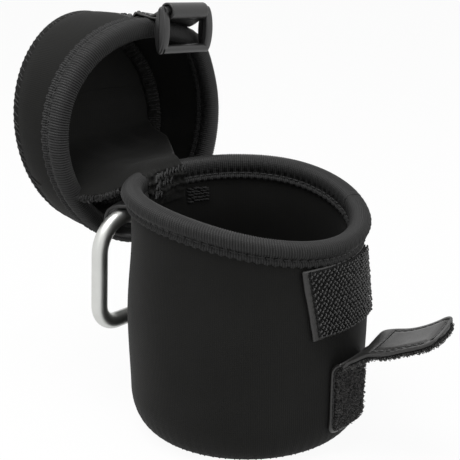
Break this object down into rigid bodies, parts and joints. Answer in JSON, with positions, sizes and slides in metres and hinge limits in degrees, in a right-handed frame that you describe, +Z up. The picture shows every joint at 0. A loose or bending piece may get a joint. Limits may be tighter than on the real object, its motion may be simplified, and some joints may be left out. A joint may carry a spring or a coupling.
{
  "type": "lens pouch",
  "caption": "Round neoprene pouch with a hinged soft lid, bound rims, hook-and-loop closing strap, closure loop and a carabiner on the back.",
  "frame": {"origin": "centre of the bottom face, on the surface the pouch stands on", "axes": "+Z up through the pouch, -Y to the front with the hook patch and strap, +Y to the back with the hinge"},
  "size_m": [0.1127, 0.1872, 0.1633],
  "materials": {
    "neoprene": "matte knit laminated on foam",
    "binding": "ribbed elastic, slight sheen",
    "thread": "twisted polyester thread",
    "webbing": "woven nylon",
    "faux_leather": "grained, satin",
    "hook_tape": "dense nylon hooks",
    "loop_pile": "brushed loops",
    "black_plastic": "moulded, satin",
    "aluminium": "satin anodised",
    "steel": "plain bright"
  },
  "bodies": {
    "pouch_body": {"body_wall": "neoprene", "base_panel": "neoprene", "base_seam": "thread", "body_rim_binding": "binding", "hook_backing": "faux_leather", "hook_pile_patch": "hook_tape", "strap_anchor": "faux_leather", "strap_anchor_loop_pile": "loop_pile", "left_webbing_loop": "webbing", "right_webbing_loop": "webbing", "hinge_tongue": "neoprene"},
    "lid": {"lid_wall": "neoprene", "lid_rim_binding": "binding", "lid_top_panel": "neoprene", "lid_seam": "thread", "ring_tab": "faux_leather"},
    "closure_loop": {"closure_ring": "black_plastic"},
    "closing_strap": {"strap_flap": "faux_leather", "strap_flap_loop_pile": "loop_pile"},
    "carabiner": {"carabiner_body": "aluminium", "gate_rivet": "steel"},
    "gate": {"carabiner_gate": "aluminium", "gate_spring": "steel"}
  },
  "joints": [
    {"name": "lid_hinge", "type": "hinge", "parent": "pouch_body", "child": "lid", "pos_m": [-0.00905, 0.04067, 0.07688], "axis": [0.96, -0.2071, -0.1883], "range_deg": [0, 99.84], "deforming": ["hinge_tongue"]},
    {"name": "ring_swing", "type": "hinge", "parent": "lid", "child": "closure_loop", "pos_m": [0.03218, 0.05469, 0.15778], "axis": [0.9763, 0, -0.2164], "range_deg": [-110, 0]},
    {"name": "strap_fold", "type": "hinge", "parent": "pouch_body", "child": "closing_strap", "pos_m": [0, -0.05282, 0.03897], "axis": [-1, 0, 0], "range_deg": [-90, 44]},
    {"name": "carabiner_swing", "type": "hinge", "parent": "pouch_body", "child": "carabiner", "pos_m": [-0.01434, 0.05124, 0.06688], "axis": [0.0869, 0.9938, 0.0698], "range_deg": [-20, 20]},
    {"name": "gate_hinge", "type": "hinge", "parent": "carabiner", "child": "gate", "pos_m": [-0.00053, 0.05122, 0.04992], "axis": [-0.0869, -0.9938, -0.0698], "range_deg": [0, 25], "stiffness_Nm_per_rad": 0.02, "springref_deg": -17.19}
  ],
  "couplings": [
    {"joint": "ring_swing", "follows": "lid_hinge", "ratio": -1.1}
  ]
}
